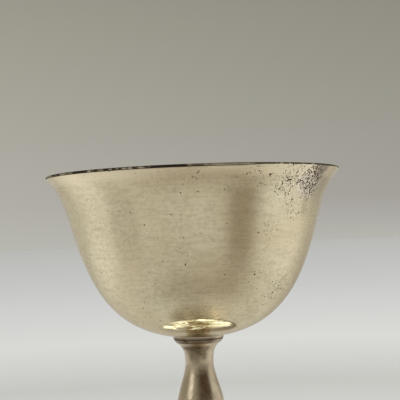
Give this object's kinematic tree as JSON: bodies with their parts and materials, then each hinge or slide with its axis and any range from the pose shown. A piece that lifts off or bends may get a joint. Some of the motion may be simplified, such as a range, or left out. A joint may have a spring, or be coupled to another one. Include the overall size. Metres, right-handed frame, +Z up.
{
  "type": "communion chalice",
  "caption": "Footed communion cup: bell-shaped spun bowl with a flared lip on a turned baluster stem with a ring knop and a stepped round foot.",
  "frame": {"origin": "centre of the ring that the foot stands on, at table height", "axes": "+Z up along the axis of the cup; the cup is round, so +X and +Y are any two square directions"},
  "size_m": [0.0654, 0.0654, 0.114],
  "materials": {
    "satin_silver": "satin",
    "bright_silver": "polished",
    "fibre": "matte",
    "brass": "satin",
    "steel": "satin"
  },
  "bodies": {
    "root": {"bowl": "satin_silver", "bowl_boss": "bright_silver", "seat_washer": "fibre", "baluster_stem": "bright_silver", "knop": "bright_silver", "foot_ferrule": "bright_silver", "foot": "bright_silver", "foot_wire": "bright_silver", "clamp_plate": "brass", "lock_washer": "steel", "nut": "brass", "tie_rod": "steel"}
  },
  "joints": []
}
